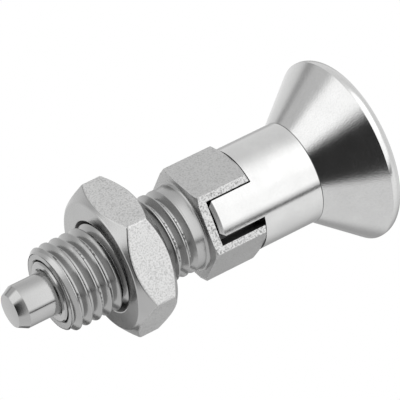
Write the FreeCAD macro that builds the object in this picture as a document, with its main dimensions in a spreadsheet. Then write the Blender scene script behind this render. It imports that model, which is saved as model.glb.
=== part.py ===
import FreeCAD, Part
import math
import os

import Sketcher

# Indexing plunger, rest-position type, all stainless steel.
# The axis is Z. The threaded body's front face lies on z = 0, the locking pin stands out below it,
# and the knob is above and is pulled up. Lengths in millimetres, angles in degrees.
# Plain rings a pitch apart stand for the turns of the thread.

# Driving sizes: name, value, meaning
SIZES = [
    ("pin_diameter", 6.0, "locking pin, and the index hole that it enters"),
    ("pin_reach", 6.0, "pin tip to the body's front face, at rest"),
    ("pin_tip_diameter", 4.6, "flat at the pin's tip"),
    ("pin_taper", 1.3, "length of the tip's cone"),
    ("thread_diameter", 12.0, "major diameter, M12 x 1.5"),
    ("thread_pitch", 1.5, "fine pitch"),
    ("thread_lead", 0.65, "chamfer at the thread's start"),
    ("ring_width", 0.48, "rings that stand for the thread's turns, at the surface"),
    ("ring_depth", 0.45, "rings that stand for the thread's turns, in radius"),
    ("first_ring", 1.6, "front face to the first ring"),
    ("last_ring", 2.55, "last ring to the hexagon"),
    ("shank_length", 20.65, "front face to the hexagon"),
    ("shank_fillet", 0.45, "fillet between the shank and the hexagon"),
    ("hex_flats", 14.0, "hexagon across flats"),
    ("hex_length", 8.3, "hexagon along the axis"),
    ("hex_front_circle", 15.1, "circle where the front bevel starts"),
    ("hex_rear_circle", 14.0, "circle where the rear bevel starts"),
    ("hex_bevel_angle", 30.0, "bevel of the hexagon's corners against its end faces"),
    ("slot_width", 6.2, "slot for a tongue, across"),
    ("slot_wall", 1.25, "web between the hexagon's front face and the slot"),
    ("slot_floor", 3.5, "slot floor to the axis, clear of the tongue's inner corners"),
    ("chamber_diameter", 8.5, "bore for the bush, the pin's collar and the spring"),
    ("chamber_length", 20.0, "front face to the chamber's end wall"),
    ("chamber_mouth", 0.3, "chamfer at the chamber's mouth"),
    ("running_clearance", 0.04, "radial, between parts that slide or turn in one another"),
    ("bush_length", 4.0, "guide bush behind the front face"),
    ("bush_proud", 0.25, "guide bush ahead of the front face"),
    ("bush_edge", 0.2, "outer edge chamfer of the bush"),
    ("bush_funnel", 0.35, "chamfer at the bush's bore"),
    ("collar_gap", 0.2, "bush to the pin's collar, at rest"),
    ("collar_length", 2.0, "collar that the spring pushes on"),
    ("groove_depth", 0.2, "grease groove round the pin, just inside the bush"),
    ("groove_width", 0.8, "grease groove along the axis"),
    ("groove_lead", 0.15, "bush's front edge to the grease groove"),
    ("stem_diameter", 4.0, "pin's stem, from the collar to the knob"),
    ("stem_depth", 10.5, "stem inside the knob's shank and cone"),
    ("stem_chamfer", 0.4, "end of the stem"),
    ("spring_wire", 0.7, "spring wire"),
    ("spring_mean_diameter", 6.2, "spring, centre to centre of the wire"),
    ("spring_turns", 8.0, "turns of the spring"),
    ("sleeve_diameter", 14.4, "lock sleeve"),
    ("sleeve_length", 9.15, "lock sleeve behind the hexagon"),
    ("sleeve_bore", 9.7, "lock sleeve, inside"),
    ("sleeve_edge", 0.12, "small chamfer at the sleeve's ends"),
    ("tongue_side_gap", 0.2, "tongue to the near side of its slot"),
    ("tongue_width", 5.0, "tongue, across"),
    ("tongue_end_gap", 0.2, "tongue to the end of its slot"),
    ("tongue_bevel", 0.6, "bevel at the tongue's front edge and corners"),
    ("knob_diameter", 25.8, "pull knob at its rim"),
    ("cone_length", 7.1, "sleeve to the knob's rim"),
    ("rim_lead", 0.3, "rim's edge line to its widest circle"),
    ("rim_radius", 1.8, "rounding of the rim"),
    ("rim_turn", 78.0, "angle of the rim's rounding behind its widest circle"),
    ("crown_height", 0.7, "crown of the knob's back"),
    ("shank_gap", 0.3, "knob's shank to the hexagon's rear face"),
    ("nut_flats", 19.0, "lock nut across flats"),
    ("nut_height", 6.0, "lock nut"),
    ("nut_place", 7.8, "body's front face to the nut"),
    ("nut_face_circle", 18.0, "washer face of the nut"),
    ("nut_bevel_height", 1.6, "bevel at the nut's corners, along the axis"),
    ("nut_countersink", 13.0, "countersink at the nut's face"),
    ("nut_angle", 1.7, "nut's turn against the hexagon"),
]

doc = FreeCAD.newDocument("indexing_plunger")
sheet = doc.addObject("Spreadsheet::Sheet", "Sizes")
for row, (alias, value, meaning) in enumerate(SIZES, start=1):
    sheet.set(f"A{row}", alias)
    sheet.set(f"B{row}", str(value))
    sheet.set(f"C{row}", meaning)
    sheet.setAlias(f"B{row}", alias)
doc.recompute()

# Lengths worked out from the driving sizes, as expressions of the sheet
PIN_RADIUS = "Sizes.pin_diameter / 2"
THREAD_RADIUS = "Sizes.thread_diameter / 2"
# engaged threads meet at the pitch diameter, 0.6495 of a pitch under the major one
ENGAGED_RADIUS = "(Sizes.thread_diameter - 0.6495 * Sizes.thread_pitch) / 2"
HEX_FRONT = "Sizes.shank_length"
HEX_REAR = "(Sizes.shank_length + Sizes.hex_length)"
HEX_CORNER = "(Sizes.hex_flats / 2 / cos(30 deg))"
HEX_RISE = "tan(Sizes.hex_bevel_angle * 1 deg)"
SLOT_END = "(Sizes.shank_length + Sizes.slot_wall)"
CHAMBER_RADIUS = "Sizes.chamber_diameter / 2"
COLLAR_FRONT = "(Sizes.bush_length + Sizes.collar_gap)"
COLLAR_REAR = "(Sizes.bush_length + Sizes.collar_gap + Sizes.collar_length)"
SLEEVE_RADIUS = "Sizes.sleeve_diameter / 2"
SLEEVE_REAR = "(Sizes.shank_length + Sizes.hex_length + Sizes.sleeve_length)"
TONGUE_END = "(Sizes.shank_length + Sizes.slot_wall + Sizes.tongue_end_gap)"
TONGUE_NEAR = "(Sizes.slot_width / 2 - Sizes.tongue_side_gap)"
TONGUE_FAR = "(Sizes.tongue_width - Sizes.slot_width / 2 + Sizes.tongue_side_gap)"
SHANK_FRONT = "(Sizes.shank_length + Sizes.hex_length + Sizes.shank_gap)"
STEM_END = "(Sizes.shank_length + Sizes.hex_length + Sizes.shank_gap + Sizes.stem_depth)"
NUT_REAR = "(Sizes.nut_place + Sizes.nut_height)"
NUT_CORNER = "(Sizes.nut_flats / 2 / cos(30 deg))"


def number(expression):
    """The value of an expression of the sheet, as a plain number."""
    result = sheet.evalExpression(str(expression))
    return float(getattr(result, "Value", result))


def new_body(label):
    body = doc.addObject("PartDesign::Body", label)
    body.Label = label
    return body


def new_sketch(body, name, plane):
    """An empty sketch on one of the body's own origin planes."""
    sketch = body.newObject("Sketcher::SketchObject", name)
    support = next(item for item in body.Origin.OriginFeatures if item.Role == plane)
    sketch.AttachmentSupport = (support, [""])
    sketch.MapMode = "FlatFace"
    return sketch


def fix(sketch, kind, *where):
    """A distance or radius that follows an expression, or a point held on an axis."""
    *where, expression = where
    axis = {"DistanceX": -2, "DistanceY": -1}.get(kind)
    if axis and expression == "0":
        sketch.addConstraint(Sketcher.Constraint("PointOnObject", *where[-2:], axis))
        return
    index = sketch.addConstraint(Sketcher.Constraint(kind, *where, number(expression)))
    sketch.setExpression(f"Constraints[{index}]", expression)


def outline(sketch, corners, arcs=()):
    """A closed outline through the corners. An arc replaces the edge after its corner: corner, radius, bulge point."""
    bends = {corner: (radius, bulge) for corner, radius, bulge in arcs}
    points = [FreeCAD.Vector(number(x), number(y), 0) for x, y in corners]
    # which end of each edge is its first: an arc always runs counterclockwise
    ends = []
    for index, start in enumerate(points):
        end = points[(index + 1) % len(points)]
        if index not in bends:
            sketch.addGeometry(Part.LineSegment(start, end))
            ends.append((1, 2))
            continue
        x, y = bends[index][1]
        middle = FreeCAD.Vector(number(x), number(y), 0)
        if (middle - start).cross(end - middle).z > 0:
            sketch.addGeometry(Part.Arc(start, middle, end))
            ends.append((1, 2))
        else:
            sketch.addGeometry(Part.Arc(end, middle, start))
            ends.append((2, 1))
    for index in range(len(points)):
        after = (index + 1) % len(points)
        sketch.addConstraint(Sketcher.Constraint("Coincident", index, ends[index][1], after, ends[after][0]))
    for index, (x, y) in enumerate(corners):
        fix(sketch, "DistanceX", -1, 1, index, ends[index][0], x)
        fix(sketch, "DistanceY", -1, 1, index, ends[index][0], y)
    for index, (radius, bulge) in bends.items():
        fix(sketch, "Radius", index, radius)


def turn(body, name, corners, arcs=(), cut=False):
    """A turned solid, or a turned cut: the outline is in radius and height, and revolves round Z."""
    sketch = new_sketch(body, name + "_outline", "XZ_Plane")
    outline(sketch, corners, arcs)
    kind = "PartDesign::Groove" if cut else "PartDesign::Revolution"
    feature = body.newObject(kind, name)
    feature.Profile = sketch
    feature.ReferenceAxis = (sketch, ["V_Axis"])
    feature.Angle = 360
    doc.recompute()
    return feature


def hexagon(body, name, flats, low, length):
    """A hexagonal prism with two flats facing +X and -X, from the height low."""
    sketch = new_sketch(body, name + "_outline", "XY_Plane")
    corner = f"({flats} / 2 / cos(30 deg))"
    corners = [(f"{corner} * cos({60 * k + 30} deg)", f"{corner} * sin({60 * k + 30} deg)") for k in range(6)]
    corners = [("0" if k in (1, 4) else x, y) for k, (x, y) in enumerate(corners)]
    outline(sketch, corners)
    sketch.setExpression("AttachmentOffset.Base.z", low)
    pad = body.newObject("PartDesign::Pad", name)
    pad.Profile = sketch
    pad.setExpression("Length", length)
    doc.recompute()
    return pad


def straight_cut(body, name, corners, low, length, plane="XY_Plane"):
    """A straight cut from the height low over the plane, with its outline in that plane."""
    sketch = new_sketch(body, name + "_outline", plane)
    outline(sketch, corners)
    sketch.setExpression("AttachmentOffset.Base.z", low)
    pocket = body.newObject("PartDesign::Pocket", name)
    pocket.Profile = sketch
    pocket.Reversed = True
    pocket.setExpression("Length", length)
    doc.recompute()
    print(f"{body.Label}, {name}: {pocket.BaseFeature.Shape.Volume - pocket.Shape.Volume:.2f} mm3 cut")
    return pocket


def opposite(body, name, feature):
    """The feature again, half a turn round Z."""
    pattern = body.newObject("PartDesign::PolarPattern", name)
    pattern.Originals = [feature]
    axis = next(item for item in body.Origin.OriginFeatures if item.Role == "Z_Axis")
    pattern.Axis = (axis, [""])
    pattern.Angle = 360
    pattern.Occurrences = 2
    body.Tip = pattern
    doc.recompute()
    return pattern


def ring(height):
    """The corners of one ring round the shank, at a height."""
    half = "Sizes.ring_width / 2"
    return [
        (THREAD_RADIUS, f"{height} - {half}"),
        (f"{THREAD_RADIUS} - Sizes.ring_depth", height),
        (THREAD_RADIUS, f"{height} + {half}"),
    ]


def ring_count(room):
    """How many rings, a pitch apart, fit in a length of the shank."""
    turns = (number(room) - number("Sizes.ring_width / 2")) / number("Sizes.thread_pitch")
    return max(0, math.floor(turns) + 1)


def threaded_body():
    """Hexagon bar turned down to a threaded shank, bored for the spring, with a slot in each of two flats."""
    body = new_body("threaded_body")
    front_rings = []
    for k in range(ring_count("Sizes.nut_place - Sizes.first_ring")):
        front_rings += ring(f"(Sizes.first_ring + {k} * Sizes.thread_pitch)")
    rear_rings = []
    for k in range(ring_count(f"{HEX_FRONT} - Sizes.last_ring - {NUT_REAR}")):
        rear_rings = ring(f"({HEX_FRONT} - Sizes.last_ring - {k} * Sizes.thread_pitch)") + rear_rings
    fillet_end = f"({THREAD_RADIUS} + Sizes.shank_fillet)"
    fillet_side = "Sizes.shank_fillet * sqrt(0.5)"
    shank = [
        ("0", "0"),
        (f"{THREAD_RADIUS} - Sizes.thread_lead", "0"),
        (THREAD_RADIUS, "Sizes.thread_lead"),
        *front_rings,
        (THREAD_RADIUS, "Sizes.nut_place"),
        (ENGAGED_RADIUS, f"Sizes.nut_place + {THREAD_RADIUS} - {ENGAGED_RADIUS}"),
        (ENGAGED_RADIUS, f"{NUT_REAR} - {THREAD_RADIUS} + {ENGAGED_RADIUS}"),
        (THREAD_RADIUS, NUT_REAR),
        *rear_rings,
        (THREAD_RADIUS, f"{HEX_FRONT} - Sizes.shank_fillet"),
        (fillet_end, HEX_FRONT),
        ("0", HEX_FRONT),
    ]
    turn(
        body,
        "shank",
        shank,
        arcs=[
            (
                len(shank) - 3,
                "Sizes.shank_fillet",
                (f"{fillet_end} - {fillet_side}", f"{HEX_FRONT} - Sizes.shank_fillet + {fillet_side}"),
            ),
        ],
    )
    hexagon(body, "hexagon", "Sizes.hex_flats", HEX_FRONT, "Sizes.hex_length")
    front = "Sizes.hex_front_circle / 2"
    rear = "Sizes.hex_rear_circle / 2"
    reach = f"({HEX_CORNER} + 1)"
    turn(
        body,
        "front_bevel",
        [
            (front, HEX_FRONT),
            (reach, HEX_FRONT),
            (reach, f"{HEX_FRONT} + ({reach} - {front}) * {HEX_RISE}"),
        ],
        cut=True,
    )
    turn(
        body,
        "rear_bevel",
        [
            (rear, HEX_REAR),
            (reach, HEX_REAR),
            (reach, f"{HEX_REAR} - ({reach} - {rear}) * {HEX_RISE}"),
        ],
        cut=True,
    )
    mouth = f"{CHAMBER_RADIUS} + Sizes.chamber_mouth"
    stem = "Sizes.stem_diameter / 2 + Sizes.running_clearance"
    turn(
        body,
        "bore",
        [
            ("0", "0"),
            (mouth, "0"),
            (CHAMBER_RADIUS, "Sizes.chamber_mouth"),
            (CHAMBER_RADIUS, "Sizes.chamber_length"),
            (stem, "Sizes.chamber_length"),
            (stem, HEX_REAR),
            ("0", HEX_REAR),
        ],
        cut=True,
    )
    half = "Sizes.slot_width / 2"
    beyond = "Sizes.hex_flats / 2 + 1"
    slot = straight_cut(
        body,
        "slot",
        [
            ("Sizes.slot_floor", f"-{half}"),
            (beyond, f"-{half}"),
            (beyond, half),
            ("Sizes.slot_floor", half),
        ],
        SLOT_END,
        "Sizes.hex_length - Sizes.slot_wall",
    )
    opposite(body, "slots", slot)
    return body


def guide_bush():
    """Bush pressed into the chamber's mouth, which guides the pin and shows as a ring round it."""
    body = new_body("guide_bush")
    bore = f"{PIN_RADIUS} + Sizes.running_clearance"
    turn(
        body,
        "ring",
        [
            (f"{bore} + Sizes.bush_funnel", "-Sizes.bush_proud"),
            (f"{CHAMBER_RADIUS} - Sizes.bush_edge", "-Sizes.bush_proud"),
            (CHAMBER_RADIUS, "Sizes.bush_edge - Sizes.bush_proud"),
            (CHAMBER_RADIUS, "Sizes.bush_length"),
            (bore, "Sizes.bush_length"),
            (bore, "Sizes.bush_funnel - Sizes.bush_proud"),
        ],
    )
    return body


def locking_pin():
    """One turned piece: coned tip, guided pin with a grease groove, collar for the spring, and stem."""
    body = new_body("locking_pin")
    groove = f"{PIN_RADIUS} - Sizes.groove_depth"
    start = "(Sizes.groove_lead - Sizes.bush_proud)"
    stem = "Sizes.stem_diameter / 2"
    collar = f"{CHAMBER_RADIUS} - Sizes.running_clearance"
    turn(
        body,
        "pin",
        [
            ("0", "-Sizes.pin_reach"),
            ("Sizes.pin_tip_diameter / 2", "-Sizes.pin_reach"),
            (PIN_RADIUS, "Sizes.pin_taper - Sizes.pin_reach"),
            (PIN_RADIUS, start),
            (groove, f"{start} + Sizes.groove_depth / 2"),
            (groove, f"{start} + Sizes.groove_width - Sizes.groove_depth / 2"),
            (PIN_RADIUS, f"{start} + Sizes.groove_width"),
            (PIN_RADIUS, COLLAR_FRONT),
            (collar, COLLAR_FRONT),
            (collar, COLLAR_REAR),
            (stem, COLLAR_REAR),
            (stem, f"{STEM_END} - Sizes.stem_chamfer"),
            (f"{stem} - Sizes.stem_chamfer", STEM_END),
            ("0", STEM_END),
        ],
    )
    return body


def compression_spring():
    """Open-ended spring of round wire, between the pin's collar and the chamber's end wall."""
    wire = number("Sizes.spring_wire")
    radius = number("Sizes.spring_mean_diameter / 2")
    low = number(COLLAR_REAR)
    rise = number("Sizes.chamber_length") - low - wire
    turns = number("Sizes.spring_turns")
    helix = Part.makeHelix(rise / turns, rise, radius)
    section = Part.Wire([Part.makeCircle(wire / 2, FreeCAD.Vector(radius, 0, 0), FreeCAD.Vector(0, 1, 0))])
    coil = Part.Wire(helix.Edges).makePipeShell([section], True, True)
    spring = doc.addObject("Part::Feature", "compression_spring")
    spring.Label = "compression_spring"
    spring.Shape = coil
    spring.Placement = FreeCAD.Placement(FreeCAD.Vector(0, 0, low + wire / 2), FreeCAD.Rotation())
    length = math.hypot(2 * math.pi * radius * turns, rise)
    print("spring volume against section times length:", coil.Volume / (math.pi * wire**2 / 4 * length))
    return spring


def lock_sleeve():
    """Sleeve behind the hexagon, with two tongues that lie in the slots."""
    body = new_body("lock_sleeve")
    bore = "Sizes.sleeve_bore / 2"
    edge = "Sizes.sleeve_edge"
    turn(
        body,
        "tube",
        [
            (bore, TONGUE_END),
            (f"{SLEEVE_RADIUS} - Sizes.tongue_bevel * tan(30 deg)", TONGUE_END),
            (SLEEVE_RADIUS, f"{TONGUE_END} + Sizes.tongue_bevel"),
            (SLEEVE_RADIUS, f"{SLEEVE_REAR} - {edge}"),
            (f"{SLEEVE_RADIUS} - {edge}", SLEEVE_REAR),
            (bore, SLEEVE_REAR),
        ],
    )
    near = f"-{TONGUE_NEAR}"
    beyond = f"({SLEEVE_RADIUS} + 2)"
    # everything between the two tongues goes, ahead of the hexagon's rear face
    between = straight_cut(
        body,
        "between_tongues",
        [
            (f"-{beyond}", f"-{TONGUE_FAR}"),
            ("0", f"-{TONGUE_FAR}"),
            ("0", near),
            (beyond, near),
            (beyond, f"-{beyond}"),
            (f"-{beyond}", f"-{beyond}"),
        ],
        f"{TONGUE_END} - 1",
        f"{HEX_REAR} - {TONGUE_END} + 1",
    )
    opposite(body, "tongues", between)
    for side, edge_at, inward in (("near", near, "+"), ("far", TONGUE_FAR, "-")):
        corner = straight_cut(
            body,
            side + "_corner",
            [
                (edge_at, TONGUE_END),
                (f"{edge_at} {inward} Sizes.tongue_bevel", TONGUE_END),
                (edge_at, f"{TONGUE_END} + Sizes.tongue_bevel"),
            ],
            "0",
            beyond,
            plane="YZ_Plane",
        )
        opposite(body, side + "_corners", corner)
    return body


def pull_knob():
    """Turned knob: a shank inside the sleeve, a cone, a rounded rim and a slightly crowned back."""
    body = new_body("pull_knob")
    shank = "Sizes.sleeve_bore / 2"
    bore = "Sizes.stem_diameter / 2"
    rim_height = f"({SLEEVE_REAR} + Sizes.cone_length + Sizes.rim_lead)"
    rim_centre = "(Sizes.knob_diameter / 2 - Sizes.rim_radius)"
    edge_radius = f"{rim_centre} + sqrt(Sizes.rim_radius ^ 2 - Sizes.rim_lead ^ 2)"
    back_radius = f"({rim_centre} + Sizes.rim_radius * cos(Sizes.rim_turn * 1 deg))"
    back_height = f"({rim_height} + Sizes.rim_radius * sin(Sizes.rim_turn * 1 deg))"
    middle_radius = f"{rim_centre} + Sizes.rim_radius * cos(Sizes.rim_turn * 0.5 deg)"
    middle_height = f"{rim_height} + Sizes.rim_radius * sin(Sizes.rim_turn * 0.5 deg)"
    crown_radius = f"({back_radius} ^ 2 + Sizes.crown_height ^ 2) / (2 * Sizes.crown_height)"
    crown_middle = f"{back_height} + Sizes.crown_height * 0.75"
    turn(
        body,
        "knob",
        [
            (bore, SHANK_FRONT),
            (shank, SHANK_FRONT),
            (shank, SLEEVE_REAR),
            (SLEEVE_RADIUS, SLEEVE_REAR),
            (edge_radius, f"{SLEEVE_REAR} + Sizes.cone_length"),
            (back_radius, back_height),
            ("0", f"{back_height} + Sizes.crown_height"),
            ("0", STEM_END),
            (bore, STEM_END),
        ],
        arcs=[
            (4, "Sizes.rim_radius", (middle_radius, middle_height)),
            (5, crown_radius, (f"{back_radius} / 2", crown_middle)),
        ],
    )
    return body


def lock_nut():
    """Thin hexagon nut on the thread, bevelled on both sides."""
    body = new_body("lock_nut")
    hexagon(body, "hexagon", "Sizes.nut_flats", "Sizes.nut_place", "Sizes.nut_height")
    face = "Sizes.nut_face_circle / 2"
    rise = f"Sizes.nut_bevel_height / ({NUT_CORNER} - {face})"
    reach = f"({NUT_CORNER} + 1)"
    for name, level, sign in (("front_bevel", "Sizes.nut_place", "+"), ("rear_bevel", NUT_REAR, "-")):
        turn(
            body,
            name,
            [
                (face, level),
                (reach, level),
                (reach, f"{level} {sign} ({reach} - {face}) * {rise}"),
            ],
            cut=True,
        )
    bore = f"({ENGAGED_RADIUS} + Sizes.running_clearance)"
    sink = "Sizes.nut_countersink / 2"
    turn(
        body,
        "bore",
        [
            ("0", "Sizes.nut_place"),
            (sink, "Sizes.nut_place"),
            (bore, f"Sizes.nut_place + {sink} - {bore}"),
            (bore, f"{NUT_REAR} - {sink} + {bore}"),
            (sink, NUT_REAR),
            ("0", NUT_REAR),
        ],
        cut=True,
    )
    body.setExpression("Placement.Rotation.Angle", "Sizes.nut_angle")
    return body


pieces = [
    threaded_body(),
    guide_bush(),
    locking_pin(),
    compression_spring(),
    lock_sleeve(),
    pull_knob(),
    lock_nut(),
]
doc.recompute()

faults = [item.Name for item in doc.Objects if {"Invalid", "Error"} & set(item.State)]
for piece in pieces:
    if piece.Shape.isNull() or not piece.Shape.isValid():
        faults.append(piece.Label)
if faults:
    raise RuntimeError(f"faulty objects: {faults}")

os.makedirs("parts", exist_ok=True)
for piece in pieces:
    piece.Shape.exportStep(os.path.join("parts", piece.Label + ".step"))
    box = piece.Shape.BoundBox
    print(f"{piece.Label}: {piece.Shape.Volume:.1f} mm3, z {box.ZMin:.2f} to {box.ZMax:.2f}")
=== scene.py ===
import math

import bmesh
import bpy
from mathutils import Matrix, Vector


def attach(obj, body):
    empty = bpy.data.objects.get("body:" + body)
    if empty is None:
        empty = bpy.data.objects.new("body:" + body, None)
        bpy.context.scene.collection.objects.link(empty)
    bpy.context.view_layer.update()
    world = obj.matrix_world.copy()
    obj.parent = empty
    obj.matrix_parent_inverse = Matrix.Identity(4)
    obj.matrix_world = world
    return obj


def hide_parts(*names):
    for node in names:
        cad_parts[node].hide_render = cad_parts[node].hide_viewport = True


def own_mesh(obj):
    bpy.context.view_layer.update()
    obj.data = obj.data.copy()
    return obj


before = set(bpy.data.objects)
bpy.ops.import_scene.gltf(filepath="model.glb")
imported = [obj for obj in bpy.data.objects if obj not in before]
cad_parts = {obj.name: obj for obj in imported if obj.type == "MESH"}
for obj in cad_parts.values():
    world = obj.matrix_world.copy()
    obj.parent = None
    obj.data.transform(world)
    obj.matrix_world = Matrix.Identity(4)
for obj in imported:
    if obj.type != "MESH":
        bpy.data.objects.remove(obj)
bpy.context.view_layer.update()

# Shapes are written in millimetres, in the frame of the plunger: its axis is Z, and the
# body's front face is z = 0. Blender's own lengths are metres
MM = 0.001
ROUND = 240  # points round a turned piece

# Sizes that pieces share: places along the axis, then radii
HEX_START, HEX_END = 20.65, 28.95
SLEEVE_END = 38.1
STEM_END = 39.75
STEM_RADIUS, STEM_HOLE = 2, 2.04
BUSH_RADIUS = 4.25
KNOB_SHANK = 4.85
SLEEVE_RADIUS = 7.2


def arc(centre, radius, start, end, steps):
    """Points on an arc, from the start angle to the end angle in degrees."""
    angles = [math.radians(start + (end - start) * k / steps) for k in range(steps + 1)]
    return [(centre[0] + radius * math.cos(t), centre[1] + radius * math.sin(t)) for t in angles]


def rounded(corners, steps=4):
    """The outline with every corner that has a third number rounded to that radius."""
    points = []
    for index, corner in enumerate(corners):
        here = Vector(corner[:2])
        radius = corner[2] if len(corner) > 2 else 0
        if not radius:
            points.append(tuple(here))
            continue
        back = (Vector(corners[index - 1][:2]) - here).normalized()
        on = (Vector(corners[(index + 1) % len(corners)][:2]) - here).normalized()
        half = back.angle(on) / 2
        centre = here + (back + on).normalized() * radius / math.sin(half)
        first = here + back * radius / math.tan(half) - centre
        last = here + on * radius / math.tan(half) - centre
        swing = first.angle_signed(last)
        for k in range(steps + 1):
            ray = Matrix.Rotation(-swing * k / steps, 2) @ first
            points.append(tuple(centre + ray))
    return points


def at_angle(radius, t, height):
    """The point in metres at a radius, an angle in radians and a height."""
    return (radius * math.cos(t) * MM, radius * math.sin(t) * MM, height * MM)


def mesh_from(bm, name):
    """A mesh with its faces turned outwards."""
    bmesh.ops.recalc_face_normals(bm, faces=bm.faces)
    mesh = bpy.data.meshes.new(name)
    bm.to_mesh(mesh)
    bm.free()
    return mesh


def piece_from(bm, name):
    """A new object in the scene."""
    piece = bpy.data.objects.new(name, mesh_from(bm, name))
    bpy.context.scene.collection.objects.link(piece)
    return piece


def turned(name, outline, around=ROUND):
    """A turned solid: the closed outline of (radius, height) revolved round Z."""
    bm = bmesh.new()
    rings = []
    for radius, height in outline:
        if radius < 1e-6:
            rings.append([bm.verts.new((0, 0, height * MM))] * around)
            continue
        angles = [2 * math.pi * k / around for k in range(around)]
        rings.append([bm.verts.new(at_angle(radius, t, height)) for t in angles])
    for low, high in zip(rings, rings[1:] + rings[:1]):
        for k in range(around):
            j = (k + 1) % around
            face = list(dict.fromkeys((low[k], low[j], high[j], high[k])))
            if len(face) > 2:
                bm.faces.new(face)
    return piece_from(bm, name)


def bar(name, corners, way):
    """A straight bar: the corners, in millimetres, pushed along a vector."""
    bm = bmesh.new()
    start = [bm.verts.new(Vector(c) * MM) for c in corners]
    end = [bm.verts.new((Vector(c) + Vector(way)) * MM) for c in corners]
    bm.faces.new(start)
    bm.faces.new(end)
    for k in range(len(corners)):
        j = (k + 1) % len(corners)
        bm.faces.new((start[k], start[j], end[j], end[k]))
    return piece_from(bm, name)


def rectangle(x, y, z):
    """Four level corners between two values of x and two of y."""
    return [(x[0], y[0], z), (x[1], y[0], z), (x[1], y[1], z), (x[0], y[1], z)]


def hexagon(flats, height, turn=0):
    """Six corners of a hexagon with two flats across X, turned by degrees."""
    corner = flats / 2 / math.cos(math.radians(30))
    angles = [math.radians(60 * k + 30 + turn) for k in range(6)]
    return [(corner * math.cos(t), corner * math.sin(t), height) for t in angles]


def coned(start, end, reach, slope):
    """Outline of a blank with coned ends; start and end are each a face's (radius, height)."""
    low = start[1] + (reach - start[0]) * slope
    high = end[1] - (reach - end[0]) * slope
    return [(0, start[1]), start, (reach, low), (reach, high), end, (0, end[1])]


def carve(piece, tool, way="DIFFERENCE"):
    """Cuts the tool out of the piece, or keeps what they share, and removes the tool."""
    change = piece.modifiers.new("carve", "BOOLEAN")
    change.operation = way
    change.solver = "EXACT"
    change.object = tool
    graph = bpy.context.evaluated_depsgraph_get()
    mesh = bpy.data.meshes.new_from_object(piece.evaluated_get(graph))
    piece.modifiers.clear()
    piece.data = mesh
    bpy.data.objects.remove(tool)


def join_points(piece, gap):
    """Joins points nearer than the gap, because tiny edges would spoil the rounding."""
    bm = bmesh.new()
    bm.from_mesh(piece.data)
    bmesh.ops.remove_doubles(bm, verts=bm.verts, dist=gap * MM)
    piece.data = mesh_from(bm, piece.name)


def smooth(piece, angle=25, edge=0.0, clamp=True):
    """Smooth shading with crisp edges, and a small real rounding on those edges."""
    piece.data.shade_smooth()
    piece.data.set_sharp_from_angle(angle=math.radians(angle))
    if edge:
        bevel = piece.modifiers.new("edges", "BEVEL")
        bevel.width = edge * MM
        bevel.segments = 2
        bevel.limit_method = "ANGLE"
        bevel.angle_limit = math.radians(angle)
        bevel.harden_normals = True
        bevel.miter_outer = "MITER_ARC"
        bevel.use_clamp_overlap = clamp


# The camera was fitted to the photograph's turned circles and hexagon corners. The columns of
# its axes are its right, its up and its back
PHOTO_WIDTH = 400
FOCAL_LENGTH = 3084.3  # in pixels of the photograph
CAMERA_PLACE = (364.943, -82.665, -131.855)
CAMERA_AXES = (
    (0.43267, -0.02801, 0.90112),
    (0.35490, -0.91352, -0.19880),
    (0.82876, 0.40582, -0.38532),
)
camera_data = bpy.data.cameras.new("camera")
camera = bpy.data.objects.new("camera", camera_data)
bpy.context.scene.collection.objects.link(camera)
camera.matrix_world = Matrix.Translation(Vector(CAMERA_PLACE) * MM) @ Matrix(CAMERA_AXES).to_4x4()
camera_data.sensor_width = 36
camera_data.lens = FOCAL_LENGTH / PHOTO_WIDTH * camera_data.sensor_width
camera_data.clip_start = 0.01
camera_data.clip_end = 20
bpy.context.scene.camera = camera

# Locking pin: coned tip, grease groove, collar and stem
PIN_TIP, PIN_RADIUS = -6, 3
COLLAR = (4.2, 6.2)
pin_outline = [
    (0, PIN_TIP),
    (2.3, PIN_TIP, 0.1),
    (PIN_RADIUS, -4.7, 0.12),
    (PIN_RADIUS, -0.1),
    (2.8, 0),
    (2.8, 0.6),
    (PIN_RADIUS, 0.7),
    (PIN_RADIUS, COLLAR[0]),
    (4.21, COLLAR[0], 0.1),
    (4.21, COLLAR[1], 0.1),
    (STEM_RADIUS, COLLAR[1]),
    (STEM_RADIUS, STEM_END - 0.4),
    (STEM_RADIUS - 0.4, STEM_END),
    (0, STEM_END),
]
pin = turned("pin", rounded(pin_outline))
smooth(pin)

# Guide bush: the ring round the pin
bush_outline = [
    (3.39, -0.25),
    (4.05, -0.25, 0.08),
    (BUSH_RADIUS, -0.05),
    (BUSH_RADIUS, 4),
    (3.04, 4),
    (3.04, 0.1),
]
bush = turned("bush", rounded(bush_outline))
smooth(bush)

# Spring: open turns of round wire between the pin's collar and the chamber's end wall
COIL_TURNS, COIL_STEPS = 8, 48
COIL_RADIUS, WIRE_RADIUS, WIRE_ROUND = 3.1, 0.345, 24
COIL_LOW, COIL_HIGH = 6.55, 19.65
slope = (COIL_HIGH - COIL_LOW) / (2 * math.pi * COIL_TURNS * COIL_RADIUS)
wire_outline = arc((0, 0), WIRE_RADIUS, 0, 360 - 360 / WIRE_ROUND, WIRE_ROUND - 1)
wound = bmesh.new()
sections = []
for step in range(COIL_TURNS * COIL_STEPS + 1):
    t = 2 * math.pi * step / COIL_STEPS
    outward = Vector((math.cos(t), math.sin(t), 0))
    across = Vector((-math.sin(t), math.cos(t), slope)).normalized().cross(outward)
    climbed = COIL_LOW + (COIL_HIGH - COIL_LOW) * step / (COIL_TURNS * COIL_STEPS)
    centre = outward * COIL_RADIUS + Vector((0, 0, climbed))
    section = [centre + outward * x + across * y for x, y in wire_outline]
    sections.append([wound.verts.new(point * MM) for point in section])
for low, high in zip(sections, sections[1:]):
    for k in range(WIRE_ROUND):
        j = (k + 1) % WIRE_ROUND
        wound.faces.new((low[k], low[j], high[j], high[k]))
wound.faces.new(sections[0])
wound.faces.new(sections[-1])
coil = piece_from(wound, "coil")
smooth(coil, 60)

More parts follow.
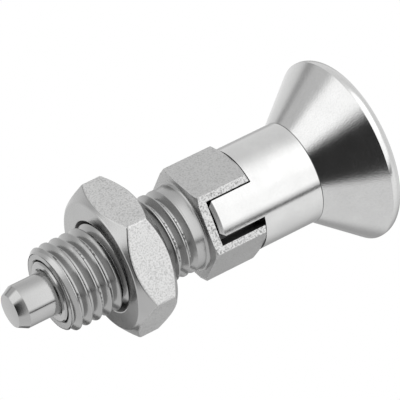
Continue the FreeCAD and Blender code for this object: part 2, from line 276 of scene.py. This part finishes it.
# Pull knob: shank, cone, rounded rim and crowned back
RIM_CENTRE, RIM_RADIUS = (11.1, 45.5), 1.8
RIM_ANGLES = (-6, 78)
CROWN = 0.7  # how far the back's middle stands out past its edge
rim = arc(RIM_CENTRE, RIM_RADIUS, *RIM_ANGLES, 22)
crown_edge = rim[-1]
crown_radius = (crown_edge[0] ** 2 + CROWN**2) / (2 * CROWN)
crown_centre = (0, crown_edge[1] + CROWN - crown_radius)
crown_angle = math.degrees(math.atan2(crown_edge[1] - crown_centre[1], crown_edge[0]))
knob_outline = rounded([
    (STEM_RADIUS, 29.25),
    (KNOB_SHANK, 29.25, 0.2),
    (KNOB_SHANK, SLEEVE_END),
    (SLEEVE_RADIUS, SLEEVE_END),
])
knob_outline += rim
knob_outline += arc(crown_centre, crown_radius, crown_angle, 90, 16)[1:]
knob_outline += [(0, STEM_END), (STEM_RADIUS, STEM_END)]
knob = turned("knob", knob_outline)
smooth(knob, 20)

# Lock sleeve: a tube with two tongues, their front corners cut off. A tongue is as wide as its
# two edges are apart along Y, and the other tongue is the same half a turn on
TONGUE_FRONT = 22.2
TONGUE_EDGES = (-2.82, 2.1)
TONGUE_CUT = 0.7
PAST = 10  # any reach past the sleeve's radius
sleeve_outline = [
    (KNOB_SHANK, TONGUE_FRONT),
    (6.89, TONGUE_FRONT),
    (SLEEVE_RADIUS, 22.74),
    (SLEEVE_RADIUS, SLEEVE_END - 0.12),
    (SLEEVE_RADIUS - 0.12, SLEEVE_END),
    (KNOB_SHANK, SLEEVE_END),
]
sleeve = turned("sleeve", sleeve_outline)
left, right = TONGUE_EDGES
between = [(-PAST, -right), (0, -right), (0, left), (PAST, left), (PAST, -PAST), (-PAST, -PAST)]
start = TONGUE_FRONT - 0.1
for side in (1, -1):
    gap = [(side * x, side * y, 21) for x, y in between]
    carve(sleeve, bar("cut", gap, (0, 0, HEX_END - 21)))
    for edge, inner in ((left, left + TONGUE_CUT), (right, right - TONGUE_CUT)):
        corner = [(edge, start), (inner, start), (edge, start + TONGUE_CUT)]
        corner = [(0, side * y, z) for y, z in corner]
        carve(sleeve, bar("cut", corner, (side * 12, 0, 0)))
smooth(sleeve, 12, 0.07)

# Lock nut: hexagon, bevelled corners, countersunk bore
NUT_FRONT, NUT_DEPTH = 7.8, 6
NUT_FLATS, NUT_TURN = 19, 1.7
NUT_WASHER = 9  # radius of its flat faces
NUT_CORNER, NUT_BEVEL = 10.97, 1.6  # radius at its corners, and how far the bevel runs there
NUT_BORE, NUT_COUNTERSINK = 6.04, 6.5
NUT_BACK = NUT_FRONT + NUT_DEPTH
nut = bar("nut", hexagon(NUT_FLATS, NUT_FRONT, NUT_TURN), (0, 0, NUT_DEPTH))
nut_slope = NUT_BEVEL / (NUT_CORNER - NUT_WASHER)
blank = coned((NUT_WASHER, NUT_FRONT), (NUT_WASHER, NUT_BACK), 11.5, nut_slope)
carve(nut, turned("cut", blank), "INTERSECT")
sink = NUT_COUNTERSINK - NUT_BORE
nut_bore = [
    (0, NUT_FRONT - 0.8),
    (NUT_COUNTERSINK + 0.8, NUT_FRONT - 0.8),
    (NUT_COUNTERSINK, NUT_FRONT),
    (NUT_BORE, NUT_FRONT + sink),
    (NUT_BORE, NUT_BACK - sink),
    (NUT_COUNTERSINK, NUT_BACK),
    (NUT_COUNTERSINK + 0.8, NUT_BACK + 0.8),
    (0, NUT_BACK + 0.8),
]
carve(nut, turned("cut", nut_bore))
join_points(nut, 0.06)
smooth(nut, 14, 0.2, clamp=False)

# Threaded body, its hexagon with two slots
HEX_FLATS = 14
HEX_FACES, HEX_CHAMFER = (7.55, 7), 30  # radii of its two faces, and its chamfers' angle
SLOT_DEEP = 3.5  # from the axis to the slot's inner wall
SLOT_HALF, SLOT_FLOOR = 3.1, 21.9
hex_slope = math.tan(math.radians(HEX_CHAMFER))
body = bar("body", hexagon(HEX_FLATS, HEX_START), (0, 0, HEX_END - HEX_START))
blank = coned((HEX_FACES[0], HEX_START), (HEX_FACES[1], HEX_END), 10, hex_slope)
carve(body, turned("cut", blank), "INTERSECT")
for side in (1, -1):
    across = (-side * SLOT_HALF, side * SLOT_HALF)
    slot = rectangle((side * SLOT_DEEP, side * 9), across, SLOT_FLOOR)
    carve(body, bar("cut", slot, (0, 0, 9)))
carve(body, turned("cut", [(0, 20), (STEM_HOLE, 20), (STEM_HOLE, 30), (0, 30)]))
join_points(body, 0.03)
smooth(body, 14, 0.06, clamp=False)

# Threaded body, its shank: a real M12 x 1.5 helix with a lead chamfer and a run-out
PITCH = 1.5
MAJOR, ROOT = 6.0, 5.08
CREST_HALF, FLANK_FOOT = 0.08, 0.64
LEAD_RADIUS = 5.35  # where the lead chamfer starts, at the front face
RUN_OUT, RUN_OUT_SLOPE = 18.95, 1.2
THREAD_PHASE = 0.4
THREAD_TURNS, THREAD_ROUND = 15, 180
LEVEL_ROWS, LEVEL_END = 45, 0.9
thread_corners = [
    (-PITCH / 2, ROOT),
    (-FLANK_FOOT, ROOT, 0.04),
    (-CREST_HALF, MAJOR, 0.02),
    (CREST_HALF, MAJOR, 0.02),
    (FLANK_FOOT, ROOT, 0.04),
]
thread_profile = rounded(thread_corners, 2)


def thread_radius(turn, height):
    """Radius of the shank at an angle, in turns, and a height."""
    along = (height / PITCH - turn + THREAD_PHASE) % 1 * PITCH
    along -= PITCH if along > PITCH / 2 else 0
    radius = ROOT
    for (x0, r0), (x1, r1) in zip(thread_profile, thread_profile[1:] + [(PITCH / 2, ROOT)]):
        if x0 <= along <= x1:
            radius = r0 + (r1 - r0) * (along - x0) / max(x1 - x0, 1e-9)
    radius = max(radius, MAJOR - RUN_OUT_SLOPE * (RUN_OUT - height))
    return min(radius, LEAD_RADIUS + height, MAJOR)


# Level rows as far as the lead chamfer, then rows that climb with the turns
turns = [k / THREAD_ROUND for k in range(THREAD_ROUND + 1)]
heights = [[LEVEL_END * row / LEVEL_ROWS] * len(turns) for row in range(LEVEL_ROWS)]
for step in range(THREAD_TURNS):
    for offset, _ in thread_profile:
        climbing = [(step + turn - THREAD_PHASE) * PITCH + offset for turn in turns]
        heights.append([min(max(height, LEVEL_END), RUN_OUT) for height in climbing])
thread = bmesh.new()
rows = []
for row in heights:
    rows.append([])
    for turn, height in zip(turns, row):
        place = at_angle(thread_radius(turn, height), 2 * math.pi * turn, height)
        rows[-1].append(thread.verts.new(place))
for low, high in zip(rows, rows[1:]):
    for k in range(THREAD_ROUND):
        thread.faces.new((low[k], low[k + 1], high[k + 1], high[k]))
bmesh.ops.remove_doubles(thread, verts=thread.verts, dist=2e-6)
bmesh.ops.dissolve_degenerate(thread, edges=thread.edges, dist=1e-7)
shank = piece_from(thread, "shank")
shank.data.flip_normals()  # a surface with open ends comes out of mesh_from inside out
smooth(shank, 24)

# Threaded body, the rest: the neck and its fillet under the hexagon, the bore and the front face
NECK_END = 20.7  # a little way into the hexagon
FILLET = 0.45
neck_outline = [(MAJOR, RUN_OUT)]
neck_outline += arc((MAJOR + FILLET, HEX_START - FILLET), FILLET, 180, 90, 8)
neck_outline += [
    (MAJOR + FILLET, NECK_END),
    (STEM_HOLE, NECK_END),
    (STEM_HOLE, 20),
    (BUSH_RADIUS, 20),
    (BUSH_RADIUS, 0.9),
    (4.42, 0.8),
    (4.42, 0.13),
    (4.55, 0),
    (5.25, 0),
    (5, 0.25),
    (5, 18.2),
    (5.85, RUN_OUT - 0.01),
]
neck = turned("neck", neck_outline, THREAD_ROUND)
smooth(neck)


def calculate(tree, operation, a, b=None):
    """A math node of one or two sockets or numbers."""
    node = tree.nodes.new("ShaderNodeMath")
    node.operation = operation
    for socket, value in zip(node.inputs, (a, b)):
        if value is None:
            continue
        if isinstance(value, (int, float)):
            socket.default_value = value
        else:
            tree.links.new(value, socket)
    return node.outputs[0]


def noise(tree, place, scale, detail=2.0):
    """A noise texture over a place, from 0 to 1."""
    node = tree.nodes.new("ShaderNodeTexNoise")
    node.inputs["Scale"].default_value = scale
    node.inputs["Detail"].default_value = detail
    tree.links.new(place, node.inputs["Vector"])
    return node.outputs["Fac"]


def bump(tree, height, strength, depth, normal=None):
    """A bump node on top of another one's normal."""
    node = tree.nodes.new("ShaderNodeBump")
    node.inputs["Strength"].default_value = strength
    node.inputs["Distance"].default_value = depth
    tree.links.new(height, node.inputs["Height"])
    if normal is not None:
        tree.links.new(normal, node.inputs["Normal"])
    return node.outputs[0]


# How closely the marks lie, in marks per metre, and how deep they are, in metres
TURNED_LINES = 12000
DRAWN_LINES, DRAWN_ALONG = 9000, 300
GRAIN_SCALE, CLOUD_SCALE = 4500, 350
LINE_DEPTH, GRAIN_DEPTH = 0.00002, 0.00005


def steel(name, tone, roughness, lines=0.02, speckle=0.0, grain=0.0, drawn=False, pitch=0.0):
    """Steel with turned rings or drawn lines, faint tone changes and, where blasted, a speckle.

    The rings climb by the pitch, in millimetres, each turn."""
    material = bpy.data.materials.new(name)
    material.use_nodes = True
    tree = material.node_tree
    nodes, links = tree.nodes, tree.links
    shader = nodes["Principled BSDF"]
    shader.inputs["Metallic"].default_value = 1.0
    place = nodes.new("ShaderNodeTexCoord").outputs["Object"]
    apart = nodes.new("ShaderNodeSeparateXYZ")
    links.new(place, apart.inputs[0])
    x, y, z = apart.outputs

    # Stretched coordinates, in which plain noise gives rings or lines
    marks = nodes.new("ShaderNodeCombineXYZ")
    if drawn:
        stretched = ((x, DRAWN_LINES), (y, DRAWN_LINES), (z, DRAWN_ALONG))
    else:
        squares = [calculate(tree, "POWER", value, 2) for value in (x, y)]
        radius = calculate(tree, "SQRT", calculate(tree, "ADD", *squares))
        angle = calculate(tree, "ARCTAN2", y, x)
        climb = calculate(tree, "MULTIPLY", angle, -pitch * MM / 2 / math.pi)
        stretched = ((radius, TURNED_LINES), (calculate(tree, "ADD", z, climb), TURNED_LINES))
    for socket, (value, scale) in zip(marks.inputs, stretched):
        links.new(calculate(tree, "MULTIPLY", value, scale), socket)
    ridges = noise(tree, marks.outputs[0], 1)
    fine = noise(tree, place, GRAIN_SCALE, 3.0)
    cloud = noise(tree, place, CLOUD_SCALE)

    mix = nodes.new("ShaderNodeMix")
    mix.data_type = "RGBA"
    mix.inputs["A"].default_value = (tone * 0.93, tone * 0.93, tone * 0.925, 1)
    mix.inputs["B"].default_value = (tone * 1.07, tone * 1.07, tone * 1.065, 1)
    links.new(cloud, mix.inputs["Factor"])
    colour = mix.outputs["Result"]
    if speckle:
        spots = nodes.new("ShaderNodeMix")
        spots.data_type = "RGBA"
        spots.blend_type = "MULTIPLY"
        spots.inputs["Factor"].default_value = speckle
        ramp = nodes.new("ShaderNodeValToRGB")
        dark, light = ramp.color_ramp.elements
        dark.position = 0.3
        dark.color = (0.35, 0.35, 0.35, 1)
        light.position = 0.55
        links.new(fine, ramp.inputs[0])
        links.new(colour, spots.inputs["A"])
        links.new(ramp.outputs[0], spots.inputs["B"])
        colour = spots.outputs["Result"]
    links.new(colour, shader.inputs["Base Color"])

    rough = nodes.new("ShaderNodeMapRange")
    rough.inputs["To Min"].default_value = roughness * 0.85
    rough.inputs["To Max"].default_value = roughness * 1.15
    links.new(cloud, rough.inputs["Value"])
    links.new(rough.outputs[0], shader.inputs["Roughness"])

    normal = bump(tree, ridges, lines, LINE_DEPTH)
    if grain:
        normal = bump(tree, fine, grain, GRAIN_DEPTH, normal)
    links.new(normal, shader.inputs["Normal"])
    return material


polished = steel("polished_turned", 0.57, 0.14, lines=0.2, speckle=0.06, grain=0.08)
brushed = steel("knob_turned", 0.58, 0.16, lines=0.25, speckle=0.1, grain=0.2)
# The knob back's steel: faced and rougher, with its tone darkened as painted shade against the
# bright light on top
faced_painted_shade = steel("knob_faced_painted_shade", 0.37, 0.34, lines=0.9, speckle=0.2, grain=0.2)
pin_steel = steel("pin_ground", 0.40, 0.13, lines=0.12, grain=0.05)
thread_steel = steel("thread_turned", 0.37, 0.2, lines=0.15, pitch=PITCH)
neck_steel = steel("neck_turned", 0.37, 0.22, lines=0.15)
nut_turned = steel("nut_turned", 0.42, 0.2, lines=0.2, grain=0.06)
drawn_flats = steel("drawn_flats", 0.51, 0.36, lines=0.5, speckle=0.4, grain=0.25, drawn=True)
web = steel("blasted_web", 0.59, 0.42, speckle=1.0, grain=0.8)
blasted = steel("blasted_flats", 0.6, 0.42, speckle=0.5, grain=0.45)
# Dark dull steel that is painted shade, for the slots' insides, the sleeve's front face and the
# nut's bore
painted_shade = steel("painted_shade_in_recesses", 0.16, 0.5, lines=0.1)
wire = steel("spring_wire", 0.5, 0.3, lines=0.1)

# Each piece with the body it rides on, its material, its slot and the node that it replaces
dressed = [
    (pin, "plunger", pin_steel, "pin_steel", "locking_pin"),
    (bush, "housing", pin_steel, "bush_steel", "guide_bush"),
    (coil, "spring", wire, "spring_steel", "compression_spring"),
    (knob, "plunger", brushed, "knob_steel", "pull_knob"),
    (sleeve, "plunger", polished, "sleeve_steel", "lock_sleeve"),
    (nut, "nut", blasted, "nut_steel", "lock_nut"),
    (body, "housing", drawn_flats, "body_steel", "threaded_body"),
    (shank, "housing", thread_steel, "body_steel", None),
    (neck, "housing", neck_steel, "body_steel", None),
]
for piece, carrier, material, slot, node in dressed:
    piece.data.materials.clear()
    piece.data.materials.append(material)
    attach(piece, carrier)
    if node:
        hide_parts(node)

# The knob's crowned back is faced, duller than its cone and rim, and its darker tone is painted
# shade that holds down the bright light on top
knob.data.materials.append(faced_painted_shade)
for face in knob.data.polygons:
    if face.normal.z > 0.97 and face.center.z > 45 * MM:
        face.material_index = 1

# The milled slots' own walls and floor get painted shade, a dark dull grey, and the two slotted
# flats are blasted
NEAR = 0.05
body.data.materials.append(painted_shade)
body.data.materials.append(web)
for face in body.data.polygons:
    x, y, z = face.center / MM
    in_slot = abs(y) < SLOT_HALF + NEAR and SLOT_FLOOR - NEAR < z < HEX_END - NEAR
    if in_slot and abs(x) < HEX_FLATS / 2 - NEAR:
        face.material_index = 1
    elif abs(face.normal.x) > 0.9 and abs(x) > HEX_FLATS / 2 - 0.1:
        face.material_index = 2

# The sleeve's front face lies in the shade of the hexagon, and that shade is painted on it as a
# dark grey
sleeve.data.materials.append(painted_shade)
for face in sleeve.data.polygons:
    if face.normal.z < -0.9 and face.center.z > (HEX_END - NEAR) * MM:
        face.material_index = 1

# The nut's faces and bevels are turned, only its six flats are blasted, and its bore gets painted
# shade, a dark grey
nut.data.materials.append(nut_turned)
nut.data.materials.append(painted_shade)
for face in nut.data.polygons:
    outermost = max(nut.data.vertices[index].co.xy.length for index in face.vertices)
    if outermost < (NUT_COUNTERSINK + 0.1) * MM:
        face.material_index = 2
    elif abs(face.normal.z) > 0.1:
        face.material_index = 1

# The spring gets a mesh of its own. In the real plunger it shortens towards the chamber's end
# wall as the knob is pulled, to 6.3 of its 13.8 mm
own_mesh(coil)

# White room: its light by direction, with soft boxes and dark flags that only show as reflections
scene = bpy.context.scene
world = bpy.data.worlds.new("room")
scene.world = world
world.use_nodes = True
room = world.node_tree
split = room.nodes.new("ShaderNodeSeparateXYZ")
room.links.new(room.nodes.new("ShaderNodeTexCoord").outputs["Generated"], split.inputs[0])
turned_by = calculate(room, "ARCTAN2", split.outputs[1], split.outputs[0])
azimuth = calculate(room, "MULTIPLY", turned_by, math.degrees(1))
upward = split.outputs[2]


def ease(value, start, end):
    """From 0 at the start to 1 at the end, softly."""
    node = room.nodes.new("ShaderNodeMapRange")
    node.interpolation_type = "SMOOTHSTEP"
    low, high = sorted((start, end))
    node.inputs["From Min"].default_value = low
    node.inputs["From Max"].default_value = high
    node.inputs["To Min"].default_value = 0 if start < end else 1
    node.inputs["To Max"].default_value = 1 if start < end else 0
    room.links.new(value, node.inputs["Value"])
    return node.outputs[0]


def patch(amount, *edges):
    """A soft-edged part of the room: outer, inner, inner and outer edge of each direction."""
    share = [
        calculate(room, "MULTIPLY", ease(value, a, b), ease(value, d, c))
        for value, (a, b, c, d) in zip((azimuth, upward), edges)
    ]
    return calculate(room, "MULTIPLY", calculate(room, "MULTIPLY", *share), amount)


# Each row: how strong it is, its azimuths in degrees and its heights, as Z of the direction
SOFT_BOXES = [
    (0.67, (-100, -40, 24, 34), (0.12, 0.32, 0.75, 0.95)),
    (0.25, (38, 44, 60, 110), (0.12, 0.32, 0.75, 0.95)),
    (0.7, (-80, -60, -15, 0), (0.4, 0.5, 0.82, 0.95)),
    (0.65, (-112, -98, -60, -36), (-1.2, -1.1, -0.4, -0.25)),
    (1.0, (-162, -148, -126, -110), (-1.2, -1.1, -0.84, -0.76)),
]
FLAGS = [
    (0.96, (-58, -29, 42, 58), (-0.93, -0.85, -0.7, -0.45)),
    (0.8, (-62, -18, 79, 87), (-1.3, -1.2, -0.87, -0.8)),
    (0.4, (-150, -143, -139, -131), (-0.5, -0.3, -0.15, -0.02)),
    (0.2, (-160, -140, -112, -100), (-0.8, -0.6, 0.2, 0.36)),
    (0.9, (34, 38, 42, 45), (0.1, 0.2, 0.6, 0.75)),
    (0.55, (98, 145, 165, 175), (-0.2, 0.05, 0.6, 0.8)),
    (0.4, (-181, -180, -165, -150), (0.25, 0.32, 0.6, 0.8)),
]
level = 1.0
for row in SOFT_BOXES:
    level = calculate(room, "ADD", level, patch(*row))
for row in FLAGS:
    level = calculate(room, "MULTIPLY", level, calculate(room, "SUBTRACT", 1.0, patch(*row)))
# The camera itself sees plain white behind the object
seen = room.nodes.new("ShaderNodeLightPath").outputs["Is Camera Ray"]
unseen = calculate(room, "SUBTRACT", 1.0, seen)
level = calculate(room, "ADD", calculate(room, "MULTIPLY", level, unseen), seen)
room.links.new(level, room.nodes["Background"].inputs["Strength"])
room.nodes["Background"].inputs["Color"].default_value = (1, 1, 1, 1)


def matte(name, grey, glow=0.0):
    """A dull material in one grey, for the stage."""
    material = bpy.data.materials.new(name)
    material.use_nodes = True
    shader = material.node_tree.nodes["Principled BSDF"]
    shader.inputs["Base Color"].default_value = (grey, grey, grey, 1)
    shader.inputs["Roughness"].default_value = 0.9
    shader.inputs["Emission Color"].default_value = (1, 1, 1, 1)
    shader.inputs["Emission Strength"].default_value = glow
    return material


FLOOR_SPAN, FLOOR_TOP = (-3000, 3000), -250
floor = bar("floor", rectangle(FLOOR_SPAN, FLOOR_SPAN, FLOOR_TOP), (0, 0, -10))
floor.data.materials.append(matte("floor_white", 0.5, glow=0.5))
floor.visible_glossy = False

# A grey card close by on the left, seen only in the turned faces
CARD_X, CARD_Y, CARD_Z = -36, (10.5, 54), (-10, 5)
card_corners = [(CARD_X, y, z) for y, z, _ in rectangle(CARD_Y, CARD_Z, 0)]
card = bar("card", card_corners, (-0.5, 0, 0))
card.data.materials.append(matte("card_grey", 0.18))
card.visible_camera = False
card.visible_diffuse = False
card.visible_shadow = False

scene.view_settings.view_transform = "Standard"
